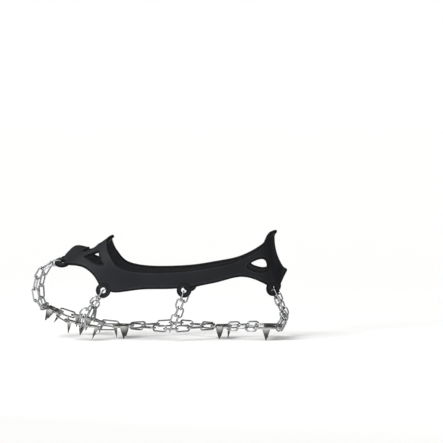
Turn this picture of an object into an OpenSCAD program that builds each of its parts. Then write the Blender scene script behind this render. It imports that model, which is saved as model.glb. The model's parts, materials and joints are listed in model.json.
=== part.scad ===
// Ice cleat: a moulded rubber harness worn round the foot, with toothed steel plates chained underneath.
// The toe points to -X, the wearer's left is -Y, and the teeth stand on the ground at Z = 0.

/* [Fit] */
// Length from toe to heel that the cleat is stretched to
fit_length = 300; // [264:1:360]
// Width that the cleat is stretched to at the ball of the foot
fit_width = 112; // [93:1:134]
// Width that the cleat is stretched to at the heel
heel_width = 84; // [74:1:100]
// Height that the plates climb from the flat to the tip of the toe
toe_rise = 34; // [24:1:42]
// Length of the climbing stretch, from the tip of the toe
toe_climb = 105; // [92:1:120]

/* [Plates] */
// Thickness of the plate steel
plate_t = 2; // [1.6:0.1:2.5]
// Height of a tooth below its plate
tooth_h = 13; // [10:0.5:16]
// Width of a tooth at its root
tooth_w = 9; // [7.5:0.5:10]
// Diameter of the hole in the middle of each plate
centre_hole_d = 6; // [4:0.5:8]
// Diameter of the holes that the chain links pass through
chain_hole_d = 5.4; // [4.6:0.1:6]
// Steel left around each chain hole
hole_web = 2.2; // [1.8:0.1:2.8]
// Fillet between the arms of a plate
arm_fillet = 2; // [1:0.5:3]
// Distance of the toe plate's middle from the tip of the toe
toe_plate_back = 27; // [24:1:32]
// Distance of the two forefoot plates' middles from the tip of the toe
fore_plate_back = 66; // [60:1:74]
// Distance of the forefoot plates' middles from the outer edge
fore_plate_inset = 17; // [14:1:20]
// Turn of each forefoot plate away from square
fore_plate_turn = 8.4; // [0:0.2:12]
// Distance of the ball plate's middle from the tip of the toe
ball_plate_back = 109; // [102:1:118]
// Distance of the arch plate's middle from the back of the heel
arch_plate_fwd = 77; // [70:1:84]
// Distance of the heel plate's middle from the back of the heel
heel_plate_fwd = 15; // [13:1:20]

/* [Chain] */
// Diameter of the chain wire
wire_d = 1.9; // [1.5:0.02:2.28]
// Width of the space inside a link
link_w = 4.8; // [4.4:0.1:5.8]
// Length that one link adds to a chain underneath
tread_pitch = 18; // [15:0.5:22]
// Length that one link adds to a chain at the side
side_pitch = 11; // [10:0.5:13]
// Play between two links
link_play = 0.3; // [0.2:0.05:0.5]
// Distance of the junction links from the back of the heel
junction_fwd = 132.5; // [120:0.5:150]
// Distance of the junction links from the outer edge
junction_inset = 7; // [5:0.5:12]
// Length of the space inside a junction link
junction_l = 14; // [12:0.5:18]

/* [Harness] */
// Thickness of the rubber strap
strap_t = 3; // [2:0.25:3.5]
// Height of the strap's outward swell, as a share of its width
strap_swell = 0.05; // [0:0.01:0.1]
// Depth of the hollow at the back of the heel, as a share of the strap's width
heel_dish = 0.1; // [0:0.01:0.14]
// Diameter of the round ear around an eyelet
ear_d = 17; // [15:0.5:19]
// Thickness of an ear
ear_t = 3.6; // [3:0.02:4.32]
// Bore of an eyelet
eyelet_d = 6.4; // [5.5:0.1:7.5]
// Distance of the front eyelets from the tip of the toe
front_eyelet_back = 41; // [36:1:48]
// Distance of each front eyelet from the middle line
front_eyelet_side = 31; // [26:1:36]
// Height of the front eyelets above the plates
front_eyelet_h = 74; // [64:1:86]
// Distance of the forefoot eyelets from the tip of the toe
fore_eyelet_back = 91; // [84:1:100]
// Height of the forefoot eyelets above the plates
fore_eyelet_h = 44; // [40:1:52]
// Distance of the waist eyelets from the back of the heel
waist_eyelet_fwd = 117; // [105:1:130]
// Height of the waist eyelets above the plates
waist_eyelet_h = 44; // [40:1:52]
// Distance of the rear eyelets from the back of the heel
rear_eyelet_fwd = 16; // [14:1:20]
// Height of the rear eyelets above the plates
rear_eyelet_h = 45; // [40:1:52]
// Height of the heel pull above the plates
heel_pull_h = 113; // [100:1:130]
// Height of the instep bridge above the plates
instep_h = 104; // [95:1:120]
// Length of the oval hole on each side of the heel
heel_hole_l = 23; // [16:1:26]
// Height of the oval hole on each side of the heel
heel_hole_w = 13; // [9:1:15]
// Length of the window on each side of the toe bridge
toe_window_l = 19; // [14:1:22]
// Width of the window on each side of the toe bridge
toe_window_w = 13; // [9:1:15]
// Length from side to side of the window in the middle of the toe bridge
bridge_window_l = 44; // [24:1:46]
// Width from front to back of the window in the middle of the toe bridge
bridge_window_w = 18; // [12:1:22]

/* [Hidden] */
$fn = 32;

// Sides of the cleat
LEFT = -1;
RIGHT = 1;

// Directions
up = [0, 0, 1];

// Middle and ends of the cleat, half widths, and the level of the flat plates' tops
middle_x = -4.4;
toe_x = middle_x - fit_length / 2;
heel_x = middle_x + fit_length / 2;
ball_y = fit_width / 2;
heel_y = heel_width / 2;
tread_z = plate_t + tooth_h;

// Half the play and the wire together: how far a link reaches past its pivot to the middle of its end wire
link_reach = (wire_d + link_play) / 2;
link_r = (link_w + wire_d) / 2;

// How far the end wire of a pulled link sits from the middle of an eyelet and of a plate hole
ear_bend = asin(ear_t / 2 / link_r);
eyelet_seat = eyelet_d / 2 - link_r * (1 - cos(ear_bend)) - wire_d / 2 / cos(ear_bend) - 1.5 * link_play;
hole_seat = chain_hole_d / 2 - wire_d - link_play / 2;

// A link's legs are a hair thinner than its bends and reach a little way into them
leg_step = 0.02;
leg_lap = 0.3;

// Vector helpers
function mix(a, b, t) = a + (b - a) * t;
function unit(v) = v / norm(v);
function across(v, axis) = unit(v - (v * axis) * axis);
function side_of(p, side) = [p[0], side * p[1], p[2]];

// A direction carried along a list of ways, and a direction turned about one of them
function carried(ways, from, i) =
    i == 0 ? across(from, ways[0]) : across(carried(ways, from, i - 1), ways[i]);
function turned(v, axis, angle) = v * cos(angle) + cross(axis, v) * sin(angle);
function turn_to(from, to, axis) = atan2(cross(from, to) * axis, from * to);

// Smooth curve through four points, at t between the second and the third
function smooth(a, b, c, d, t) =
    b + t / 2 * (c - a + t * (2 * a - 5 * b + 4 * c - d + t * (3 * (b - c) + d - a)));
function open_curve(p, t) =
    let (last = len(p) - 1, i = min(floor(t), last - 1))
    smooth(p[max(i - 1, 0)], p[i], p[i + 1], p[min(i + 2, last)], t - i);
function closed_curve(p, t) =
    let (n = len(p), i = floor(t))
    smooth(p[(i + n - 1) % n], p[i % n], p[(i + 1) % n], p[(i + 2) % n], t - i);

// Level of the plates' tops: flat, then climbing to the toe as a parabola
function climb(x) = max(0, (toe_x + toe_climb - x) / toe_climb);
function tread_height(x) = tread_z + toe_rise * pow(climb(x), 2);
function tread_tilt(x) = atan(2 * toe_rise / toe_climb * climb(x));

// Half width between heel and ball
function half_width(x) =
    let (t = (heel_x - x) / (heel_x - toe_x - fore_eyelet_back))
    mix(heel_y, ball_y, max(0, min(1, t)));

// Plates: middle of the top face, turn about the upright, tilt with the climb
function plate_at(x, y, turn) = [[x, y, tread_height(x)], turn, tread_tilt(x)];
toe_place = plate_at(toe_x + toe_plate_back, 0, 0);
ball_place = plate_at(toe_x + ball_plate_back, 0, 180);
arch_place = plate_at(heel_x - arch_plate_fwd, 0, 0);
heel_place = plate_at(heel_x - heel_plate_fwd, 0, 0);
function fore_place(side) =
    plate_at(toe_x + fore_plate_back, side * (ball_y - fore_plate_inset), -side * (90 + fore_plate_turn));

// Point of a plate in the cleat's frame, at the middle of the steel
function on_plate(place, p) =
    let (
        turn = place[1],
        tilt = place[2],
        x = p[0] * cos(turn) - p[1] * sin(turn),
        y = p[0] * sin(turn) + p[1] * cos(turn),
        z = -plate_t / 2
    )
    place[0] + [x * cos(tilt) + z * sin(tilt), y, z * cos(tilt) - x * sin(tilt)];

// Star plate: a pair of near holes in front, a hole at each wing, and three teeth
pair_hole = [-7.5, 3.7];
wing_hole = [6.8, 16.8];
wing_tooth = [-1.5, 14];
tail_tooth = [7.5, 0];
star_body_r = 8.5;

// Heel plate: a crescent with a hole at each horn, two pairs of holes behind, and three teeth
horn_hole = [-19, 27.5];
horn_tooth = [-9, 27];
horn_root = [-5, 23];
rear_hole_out = [3, 21];
rear_hole_in = [6.5, 14];
brow_tooth = [-7.5, 0];
crescent_w = 17;

// Plate edge left outside the root of each tooth
tooth_shoulder = 0.4;
arm_w = tooth_w + 2 * tooth_shoulder;

// Eyelets: middle of the bore and the way it faces
front_eyelet = [toe_x + front_eyelet_back, front_eyelet_side, tread_z + front_eyelet_h];
fore_eyelet = [toe_x + fore_eyelet_back, ball_y + 0.3, tread_z + fore_eyelet_h];
waist_eyelet = [heel_x - waist_eyelet_fwd, half_width(heel_x - waist_eyelet_fwd), tread_z + waist_eyelet_h];
rear_eyelet = [heel_x - rear_eyelet_fwd, heel_y - 9, tread_z + rear_eyelet_h];
front_face = [-0.25, 0.5, 0.83];
side_face = [0, 1, 0];
rear_face = [0.57, 0.82, 0];

// Points of the strap's lower edge on one side, from the back of the heel to the middle of the toe bridge
waist_x = waist_eyelet[0];
fore_x = fore_eyelet[0];
front_x = front_eyelet[0];
low_edge = [
    [heel_x + 2, 0, tread_z + 63],
    [heel_x - 10, heel_y - 15, tread_z + rear_eyelet_h + 5],
    [heel_x - 26, heel_y - 4, tread_z + rear_eyelet_h + 8],
    [heel_x - 52, heel_y, tread_z + 59],
    [waist_x + 33, half_width(waist_x + 33), tread_z + waist_eyelet_h + 8],
    [waist_x - 3, half_width(waist_x - 3), tread_z + waist_eyelet_h + 2],
    [(waist_x + fore_x) / 2, half_width((waist_x + fore_x) / 2), tread_z + waist_eyelet_h + 1],
    [fore_x + 7, ball_y, tread_z + fore_eyelet_h - 2],
    [fore_x - 7, ball_y - 1, tread_z + fore_eyelet_h + 13],
    [fore_x - 23, ball_y - 9, tread_z + front_eyelet_h - 5],
    [front_x + 4, front_eyelet_side + 1, tread_z + front_eyelet_h + 1],
    [front_x + 8, 0, tread_z + front_eyelet_h + 12]
];

// Points of the strap's upper edge, in the same order
high_edge = [
    [heel_x - 12, 0, tread_z + heel_pull_h],
    [heel_x - 17, heel_y - 27, tread_z + heel_pull_h - 5],
    [heel_x - 28, heel_y - 12, tread_z + heel_pull_h - 20],
    [heel_x - 56, heel_y - 2, tread_z + heel_pull_h - 34],
    [waist_x + 31, half_width(waist_x + 31) - 1, tread_z + waist_eyelet_h + 28],
    [waist_x - 3, half_width(waist_x - 3) - 2, tread_z + waist_eyelet_h + 23],
    [(waist_x + fore_x) / 2, half_width((waist_x + fore_x) / 2) - 2, tread_z + waist_eyelet_h + 22],
    [fore_x + 19, ball_y - 4, tread_z + instep_h - 33],
    [fore_x + 7, ball_y - 11, tread_z + instep_h - 20],
    [fore_x + 3, ball_y - 26, tread_z + instep_h - 8],
    [fore_x + 4, ball_y - 41, tread_z + instep_h - 2],
    [fore_x + 7, 0, tread_z + instep_h]
];

// Strap surface: rows along the loop and columns from the lower to the upper edge
strap_span_rows = 5;
strap_columns = 6;
function whole_loop(half) =
    concat(half, [for (i = [len(half) - 2:-1:1]) side_of(half[i], LEFT)]);
strap_low = whole_loop(low_edge);
strap_high = whole_loop(high_edge);
strap_rows = len(strap_low) * strap_span_rows;
function strap_edge(edge, row) = closed_curve(edge, (row % strap_rows) / strap_span_rows);
function strap_flat(row, share) = mix(strap_edge(strap_low, row), strap_edge(strap_high, row), share);
function strap_face(row) =
    let (
        along = strap_flat(row + 1, 0.5) - strap_flat(row + strap_rows - 1, 0.5),
        over = strap_flat(row, 1) - strap_flat(row, 0)
    )
    unit(cross(along, over));
function strap_bulge(row) =
    let (from_heel = min(row % strap_rows, strap_rows - row % strap_rows) / strap_span_rows)
    strap_swell - (strap_swell + heel_dish) * exp(-pow(from_heel, 2));
function strap_point(row, share) =
    let (width = norm(strap_flat(row, 1) - strap_flat(row, 0)))
    strap_flat(row, share) + strap_face(row) * width * strap_bulge(row) * 4 * share * (1 - share);

// Oval holes and windows in the strap: middle and the way each faces
heel_hole = [heel_x - 32, heel_y - 4, tread_z + 72];
heel_hole_axis = unit([0.25, 1, 0.15]);
toe_window = [fore_x - 11, ball_y - 21, tread_z + 81];
toe_window_axis = unit([-0.35, 0.6, 0.75]);
bridge_window = [fore_x - 12, 0, tread_z + 98];
bridge_window_axis = unit([-0.35, 0, 0.94]);
hole_reach = 24;

// Where the two strands of a drop part: a wider link holds them side by side in its bend
fork_w = 2 * wire_d + 5 * link_play + 1;
fork_r = (fork_w + wire_d) / 2;
strand_gap = wire_d / 2 + 2 * link_play;
strand_angle = asin(strand_gap / fork_r);
strand_w = link_w + 3 * link_play;
strand_r = (strand_w + wire_d) / 2;
fore_fork = [fore_x - 24, ball_y + 5, tread_height(fore_x - 24) + 11];
rear_fork = [heel_x - 2, heel_y - 15, tread_z + 10];

// Route of the right toe chain from its plate, round the toe cap, to its eyelet
toe_route = [
    on_plate(toe_place, pair_hole),
    [toe_x + 13, front_eyelet_side - 11, tread_height(toe_x + 13) - 3],
    [toe_x + 9, front_eyelet_side - 1, tread_z + 41],
    [toe_x + 13, front_eyelet_side + 2, tread_z + 59],
    [toe_x + 24, front_eyelet_side + 2, tread_z + 72],
    front_eyelet
];
toe_links = 7;
toe_slack = 3 * link_play;
toe_pivots = [for (i = [0:toe_links])
    let (bare = [for (k = [0:toe_links]) open_curve(toe_route, k * (len(toe_route) - 1) / toe_links)])
    i == 0 ? bare[0] + unit(bare[1] - bare[0]) * (wire_d + toe_slack) / 2
        : i == toe_links ? bare[i] + unit(bare[i - 1] - bare[i]) * (eyelet_seat + (wire_d + toe_slack) / 2)
        : bare[i]];

// Junction link under the edge of the waist, where two chains from below meet a drop
junction_x = heel_x - junction_fwd;
junction_y = half_width(junction_x) - junction_inset;
junction_z = tread_z - plate_t / 2;
junction_bend = (junction_l + wire_d) / 2 - link_r;
function junction_end(side, way, from) =
    let (bend_middle = [junction_x + way * junction_bend, side * junction_y, junction_z])
    bend_middle + across(from - bend_middle, up) * link_r;

// Slack that lets a waist drop swing
waist_slack = 3 * link_play;

// Each eyelet faces square to the chain that pulls on it
waist_leg = [junction_x, junction_y + link_r, junction_z];
front_axis = across(front_face, unit(toe_pivots[toe_links - 1] - front_eyelet));
fore_axis = across(side_face, unit(fore_fork - fore_eyelet));
waist_axis = across(side_face, unit(waist_leg - waist_eyelet));
rear_axis = across(rear_face, unit(rear_fork - rear_eyelet));
EYELETS = [
    [front_eyelet, front_axis], [fore_eyelet, fore_axis], [waist_eyelet, waist_axis], [rear_eyelet, rear_axis]
];

// Numbers of links that fill a length: odd where both ends stand upright, even where a fork follows
function odd_count(length, pitch) = 2 * max(0, round((length / pitch - 1) / 2)) + 1;
function even_count(length, pitch) = 2 * max(1, round(length / pitch / 2));

// Pivots of a straight run of links whose end wires are centred on two points
function run(from, to, count) =
    let (way = unit(to - from), a = from + way * link_reach, b = to - way * link_reach)
    [for (i = [0:count]) mix(a, b, i / count)];
function hooked(from, wire) = wire + unit(wire - from) * (wire_d + link_play);
function seated(hole, to) = hole + unit(to - hole) * hole_seat;
function slung(hole, to, face) =
    let (way = unit(to - hole))
    hole + (across(way, face) - way) * strand_r;

// One closed link between two pivots, with its space as wide as room along the given direction
module link(a, b, wide, room = link_w, slack = link_play) {
    along = unit(b - a);
    flat = across(wide, along);
    face = cross(along, flat);
    middle = (a + b) / 2;
    bend_r = (room + wire_d) / 2;
    bend = (norm(b - a) + slack + wire_d) / 2 - bend_r;
    multmatrix([
        [along[0], flat[0], face[0], middle[0]],
        [along[1], flat[1], face[1], middle[1]],
        [along[2], flat[2], face[2], middle[2]],
        [0, 0, 0, 1]
    ]) {
        for (way = [0, 180]) {
            rotate([0, 0, way]) {
                translate([bend, 0, 0])
                    rotate([0, 0, -90])
                        rotate_extrude(angle = 180)
                            translate([bend_r, 0])
                                circle(d = wire_d);
                translate([-bend - leg_lap, bend_r, 0])
                    rotate([0, 90, 0])
                        cylinder(d = wire_d - 2 * leg_step, h = 2 * (bend + leg_lap));
            }
        }
    }
}

// A chain along its pivots, with every second link lying flat
module chain(pivots, outward, last_room = link_w) {
    last = len(pivots) - 2;
    for (i = [0:last]) {
        along = unit(pivots[i + 1] - pivots[i]);
        upright = across(outward, along);
        wide = i % 2 == 0 ? upright : cross(along, upright);
        link(pivots[i], pivots[i + 1], wide, i == last ? last_room : link_w);
    }
}

// Side drop: links down from an eyelet, then one strand to each of two plate holes
module forked_drop(eyelet, axis, fork, holes, face) {
    way = unit(fork - eyelet);
    top = eyelet + way * eyelet_seat;
    count = even_count(norm(fork - top), side_pitch);
    last = fork + way * link_reach;
    chain(run(top, last, count), axis, fork_w);
    flat = cross(way, across(axis, way));
    spread = flat * sign((holes[1] - holes[0]) * flat);
    bend_middle = last - way * fork_r;
    lean = atan2(-spread[2], -way[2]);
    for (i = [0, 1]) {
        angle = lean + (2 * i - 1) * strand_angle;
        wire = bend_middle + (way * cos(angle) + spread * sin(angle)) * fork_r;
        start = slung(holes[i], wire, face);
        chain(run(start, hooked(start, wire), 1), up, strand_w);
    }
}

// Straight bar with round ends, as one arm of a plate
module arm(from, to, width) {
    translate(from)
        rotate(atan2(to[1] - from[1], to[0] - from[0]))
            translate([0, -width / 2])
                square([norm(to - from), width]);
    translate(from)
        circle(d = width);
    translate(to)
        circle(d = width);
}

// Tooth pressed down as half a hollow cone, with its round back facing +X
module tooth() {
    root_r = tooth_w / 2;
    tip_r = 0.5;
    rotate([0, 0, -90])
        rotate_extrude(angle = 180)
            polygon([
                [root_r - plate_t, -plate_t / 2],
                [root_r, -plate_t / 2],
                [root_r, -plate_t],
                [tip_r, -plate_t - tooth_h],
                [0, -plate_t - tooth_h],
                [0, -plate_t - tooth_h * 0.62],
                [root_r - plate_t, -plate_t]
            ]);
}

// Sheet of steel with its outline filleted, its chain holes and its middle hole cut
module drilled_sheet(holes) {
    difference() {
        translate([0, 0, -plate_t])
            linear_extrude(plate_t)
                offset(r = -arm_fillet)
                    offset(delta = arm_fillet)
                        children();
        for (hole = holes)
            translate([hole[0], hole[1], -2 * plate_t])
                cylinder(d = chain_hole_d, h = 4 * plate_t);
        translate([0, 0, -2 * plate_t])
            cylinder(d = centre_hole_d, h = 4 * plate_t);
    }
}

// The star-shaped plate used at the toe, forefoot, ball and arch
module star_plate() {
    hole_pad = chain_hole_d + 2 * hole_web;
    holes = [for (side = [LEFT, RIGHT], p = [pair_hole, wing_hole]) [p[0], side * p[1]]];
    drilled_sheet(holes) {
        circle(r = star_body_r);
        arm([0, 0], tail_tooth, arm_w);
        for (side = [LEFT, RIGHT]) {
            arm([0, 0], [wing_tooth[0], side * wing_tooth[1]], arm_w);
            arm([0, side * 4], [wing_hole[0], side * wing_hole[1]], hole_pad);
            arm([0, side * 2], [pair_hole[0], side * pair_hole[1]], hole_pad);
        }
    }
    translate(tail_tooth)
        tooth();
    for (side = [LEFT, RIGHT])
        translate([wing_tooth[0], side * wing_tooth[1]])
            rotate(side * 100)
                tooth();
}

// The crescent-shaped plate under the heel
module crescent_plate() {
    hole_pad = chain_hole_d + 2 * hole_web;
    holes = [for (side = [LEFT, RIGHT], p = [horn_hole, rear_hole_out, rear_hole_in]) [p[0], side * p[1]]];
    drilled_sheet(holes) {
        arm([0, 0], brow_tooth, arm_w);
        for (side = [LEFT, RIGHT]) {
            root = [horn_root[0], side * horn_root[1]];
            arm([0, 0], root, crescent_w);
            arm(root, [horn_hole[0], side * horn_hole[1]], hole_pad);
            arm(root, [horn_tooth[0], side * horn_tooth[1]], arm_w);
            arm(root, [rear_hole_out[0], side * rear_hole_out[1]], hole_pad);
            arm([0, 0], [rear_hole_in[0], side * rear_hole_in[1]], hole_pad);
        }
    }
    translate(brow_tooth)
        rotate(180)
            tooth();
    for (side = [LEFT, RIGHT])
        translate([horn_tooth[0], side * horn_tooth[1]])
            rotate(side * 90)
                tooth();
}

// Put a plate in its place
module place_plate(place) {
    translate(place[0])
        rotate([0, place[2], 0])
            rotate([0, 0, place[1]])
                children();
}

// Turn Z to face along an axis
module facing(axis) {
    rotate([0, acos(axis[2]), atan2(axis[1], axis[0])])
        children();
}

// Curved sheet of the strap, one closed loop over the instep and round the heel
module strap_sheet() {
    columns = strap_columns + 1;
    grid = [for (row = [0:strap_rows - 1]) [for (c = [0:strap_columns]) strap_point(row, c / strap_columns)]];
    faces_out = [for (row = [0:strap_rows - 1]) [for (c = [0:strap_columns])
        let (
            along = grid[(row + 1) % strap_rows][c] - grid[(row + strap_rows - 1) % strap_rows][c],
            over = grid[row][min(c + 1, strap_columns)] - grid[row][max(c - 1, 0)]
        )
        unit(cross(along, over))]];
    skins = [for (way = [1, -1], row = [0:strap_rows - 1], c = [0:strap_columns])
        grid[row][c] + faces_out[row][c] * way * strap_t / 2];
    inner = strap_rows * columns;
    function at(row, c) = (row % strap_rows) * columns + c;
    outer_faces = [for (row = [0:strap_rows - 1], c = [0:strap_columns - 1], half = [0, 1])
        half == 0 ? [at(row, c), at(row, c + 1), at(row + 1, c + 1)]
            : [at(row, c), at(row + 1, c + 1), at(row + 1, c)]];
    inner_faces = [for (face = outer_faces) [inner + face[2], inner + face[1], inner + face[0]]];
    low_rim = [for (row = [0:strap_rows - 1], half = [0, 1])
        half == 0 ? [at(row, 0), at(row + 1, 0), inner + at(row + 1, 0)]
            : [at(row, 0), inner + at(row + 1, 0), inner + at(row, 0)]];
    high_rim = [for (row = [0:strap_rows - 1], half = [0, 1])
        half == 0 ? [at(row, strap_columns), inner + at(row + 1, strap_columns), at(row + 1, strap_columns)]
            : [at(row, strap_columns), inner + at(row, strap_columns), inner + at(row + 1, strap_columns)]];
    polyhedron(skins, concat(outer_faces, inner_faces, low_rim, high_rim));
}

// Long hole with round ends, lying along X
module slot(length, width, depth) {
    between = length - width;
    translate([-between / 2, -width / 2, -depth / 2])
        cube([between, width, depth]);
    for (way = [-1, 1])
        translate([way * between / 2, 0, -depth / 2])
            cylinder(d = width, h = depth);
}

// Moulded rubber harness with its ears, eyelets, heel holes and toe windows
module harness() {
    color("#2b2d31")
        difference() {
            union() {
                strap_sheet();
                for (side = [LEFT, RIGHT], e = EYELETS)
                    translate(side_of(e[0], side))
                        facing(side_of(e[1], side))
                            cylinder(d = ear_d, h = ear_t, center = true);
            }
            for (side = [LEFT, RIGHT]) {
                for (e = EYELETS)
                    translate(side_of(e[0], side))
                        facing(side_of(e[1], side))
                            cylinder(d = eyelet_d, h = 4 * ear_t, center = true);
                translate(side_of(heel_hole, side))
                    facing(side_of(heel_hole_axis, side))
                        rotate([0, 0, 90])
                            slot(heel_hole_l, heel_hole_w, hole_reach);
                translate(side_of(toe_window, side))
                    facing(side_of(toe_window_axis, side))
                        rotate([0, 0, -side * 20])
                            slot(toe_window_l, toe_window_w, hole_reach);
            }
            translate(bridge_window)
                facing(bridge_window_axis)
                    rotate([0, 0, 90])
                        slot(bridge_window_l, bridge_window_w, hole_reach);
        }
}

// Steel plates
module toe_plate() {
    color("#d9d9d6")
        place_plate(toe_place)
            star_plate();
}

module forefoot_plate(side) {
    color("#d9d9d6")
        place_plate(fore_place(side))
            star_plate();
}

module ball_plate() {
    color("#d9d9d6")
        place_plate(ball_place)
            star_plate();
}

module arch_plate() {
    color("#d9d9d6")
        place_plate(arch_place)
            star_plate();
}

module heel_plate() {
    color("#d9d9d6")
        place_plate(heel_place)
            crescent_plate();
}

// Chain over the toe cap, from the toe plate to a front eyelet, turning evenly from one to the other
module toe_chain(side) {
    last = toe_links - 1;
    pivots = [for (p = toe_pivots) side_of(p, side)];
    ways = [for (i = [0:last]) unit(pivots[i + 1] - pivots[i])];
    under = -[sin(toe_place[2]), 0, cos(toe_place[2])];
    twist = turn_to(carried(ways, under, last), across(side_of(front_axis, side), ways[last]), ways[last]);
    color("#c9cbcc")
        for (i = [0:last]) {
            upright = turned(carried(ways, under, i), ways[i], twist * i / last);
            wide = i % 2 == 0 ? upright : cross(ways[i], upright);
            link(pivots[i], pivots[i + 1], wide, link_w, toe_slack);
        }
}

// Single link from the toe plate's wing to a forefoot plate
module toe_link(side) {
    color("#c9cbcc")
        chain(run(
            on_plate(toe_place, side_of(wing_hole, side)),
            on_plate(fore_place(side), side_of(wing_hole, -side)),
            1), up);
}

// Single link from a forefoot plate to the ball plate's wing
module ball_link(side) {
    color("#c9cbcc")
        chain(run(
            on_plate(fore_place(side), side_of(wing_hole, side)),
            on_plate(ball_place, side_of(wing_hole, -side)),
            1), up);
}

// Chain from the ball plate out to a junction link
module ball_chain(side) {
    hole = on_plate(ball_place, side_of(pair_hole, -side));
    wire = junction_end(side, -1, hole);
    start = seated(hole, wire);
    end = hooked(start, wire);
    color("#c9cbcc")
        chain(run(start, end, odd_count(norm(end - start), tread_pitch)), up);
}

// Flat link under the waist where three chains meet
module junction_link(side) {
    middle = [junction_x, side * junction_y, junction_z];
    half = [(junction_l - link_play) / 2, 0, 0];
    color("#c9cbcc")
        link(middle - half, middle + half, [0, 1, 0]);
}

// Chain from the arch plate out to a junction link
module arch_chain(side) {
    hole = on_plate(arch_place, side_of(pair_hole, side));
    wire = junction_end(side, 1, hole);
    start = seated(hole, wire);
    end = hooked(start, wire);
    color("#c9cbcc")
        chain(run(start, end, odd_count(norm(end - start), tread_pitch)), up);
}

// Chain from the arch plate's wing to a horn of the heel plate
module heel_chain(side) {
    wing = on_plate(arch_place, side_of(wing_hole, side));
    horn = on_plate(heel_place, side_of(horn_hole, side));
    start = seated(wing, horn);
    end = seated(horn, wing);
    color("#c9cbcc")
        chain(run(start, end, odd_count(norm(end - start), tread_pitch)), up);
}

// Forked chain from a forefoot eyelet to the forefoot plate
module forefoot_drop(side) {
    holes = [for (way = [-1, 1]) on_plate(fore_place(side), side_of(pair_hole, way * side))];
    tilt = fore_place(side)[2];
    color("#c9cbcc")
        forked_drop(side_of(fore_eyelet, side), side_of(fore_axis, side), side_of(fore_fork, side), holes,
            [sin(tilt), 0, cos(tilt)]);
}

// Chain from a waist eyelet to the outer leg of a junction link
module waist_drop(side) {
    leg = side_of(waist_leg, side);
    eyelet = side_of(waist_eyelet, side);
    way = unit(leg - eyelet);
    start = eyelet + way * eyelet_seat;
    end = hooked(eyelet, leg) + way * waist_slack;
    color("#c9cbcc")
        chain(run(start, end, odd_count(norm(end - start), side_pitch)), side_of(waist_axis, side));
}

// Forked chain from a rear eyelet to the back of the heel plate
module rear_drop(side) {
    holes = [for (p = [rear_hole_in, rear_hole_out]) on_plate(heel_place, side_of(p, side))];
    color("#c9cbcc")
        forked_drop(side_of(rear_eyelet, side), side_of(rear_axis, side), side_of(rear_fork, side), holes,
            up);
}

harness();
toe_plate();
forefoot_plate(LEFT);  // forefoot_plate_left
forefoot_plate(RIGHT);  // forefoot_plate_right
ball_plate();
arch_plate();
heel_plate();
toe_chain(LEFT);  // toe_chain_left
toe_chain(RIGHT);  // toe_chain_right
toe_link(LEFT);  // toe_link_left
toe_link(RIGHT);  // toe_link_right
ball_link(LEFT);  // ball_link_left
ball_link(RIGHT);  // ball_link_right
ball_chain(LEFT);  // ball_chain_left
ball_chain(RIGHT);  // ball_chain_right
junction_link(LEFT);  // junction_link_left
junction_link(RIGHT);  // junction_link_right
arch_chain(LEFT);  // arch_chain_left
arch_chain(RIGHT);  // arch_chain_right
heel_chain(LEFT);  // heel_chain_left
heel_chain(RIGHT);  // heel_chain_right
forefoot_drop(LEFT);  // forefoot_drop_left
forefoot_drop(RIGHT);  // forefoot_drop_right
waist_drop(LEFT);  // waist_drop_left
waist_drop(RIGHT);  // waist_drop_right
rear_drop(LEFT);  // rear_drop_left
rear_drop(RIGHT);  // rear_drop_right
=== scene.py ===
# %% [markdown]
# # An ice cleat in Blender
# A moulded rubber harness holds the cleat on, and steel chains pull toothed plates up underneath it.
# The steel is hard and exact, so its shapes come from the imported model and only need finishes.
# The rubber is soft and rounded. It could be sculpted, but a formula can be checked and changed, so
# it is built again here as a smooth surface.

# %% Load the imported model
import json
import bpy
import numpy as np
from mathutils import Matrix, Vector


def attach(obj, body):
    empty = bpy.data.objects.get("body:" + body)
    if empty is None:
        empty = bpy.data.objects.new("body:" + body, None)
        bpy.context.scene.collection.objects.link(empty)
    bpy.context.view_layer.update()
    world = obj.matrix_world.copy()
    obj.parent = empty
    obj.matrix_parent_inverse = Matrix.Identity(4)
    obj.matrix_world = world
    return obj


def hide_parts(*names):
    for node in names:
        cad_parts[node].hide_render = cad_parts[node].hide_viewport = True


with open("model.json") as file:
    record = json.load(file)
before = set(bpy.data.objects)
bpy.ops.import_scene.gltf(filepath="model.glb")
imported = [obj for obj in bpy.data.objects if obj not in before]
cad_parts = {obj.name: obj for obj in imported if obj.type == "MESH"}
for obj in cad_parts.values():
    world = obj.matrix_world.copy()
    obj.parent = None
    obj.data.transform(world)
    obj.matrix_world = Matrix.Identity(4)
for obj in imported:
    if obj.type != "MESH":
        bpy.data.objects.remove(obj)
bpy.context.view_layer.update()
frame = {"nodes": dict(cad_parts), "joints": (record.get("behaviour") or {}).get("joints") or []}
MM = 0.001

# %% [markdown]
# Colours are written as sRGB hex, as a colour picker shows them. Shaders want linear light,
# so one function changes them. Another adds a node with its settings and its links.

# %% Colour and node helpers
def linear(hex_code):
    """sRGB hex to linear: each channel c becomes ((c + 0.055) / 1.055) ^ 2.4, or c / 12.92 when dark."""
    c = np.array([int(hex_code[i:i + 2], 16) for i in (1, 3, 5)]) / 255
    return (*np.where(c <= 0.04045, c / 12.92, ((c + 0.055) / 1.055) ** 2.4), 1.0)


def add(tree, kind, settings=None, inputs=None):
    """Add a node, set its properties, then give each input a value or the socket that feeds it."""
    node = tree.nodes.new(kind)
    for name, value in (settings or {}).items():
        setattr(node, name, value)
    for name, value in (inputs or {}).items():
        if isinstance(value, bpy.types.NodeSocket):
            tree.links.new(value, node.inputs[name])
        else:
            node.inputs[name].default_value = value
    return node


def new_material(name):
    """An empty material with its Principled shader already joined to the output."""
    material = bpy.data.materials.new(name)
    material.use_nodes = True
    tree = material.node_tree
    return material, tree, tree.nodes["Principled BSDF"]


print("half grey on the screen is", round(float(linear("#808080")[0]), 2), "of white in linear light")

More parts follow.
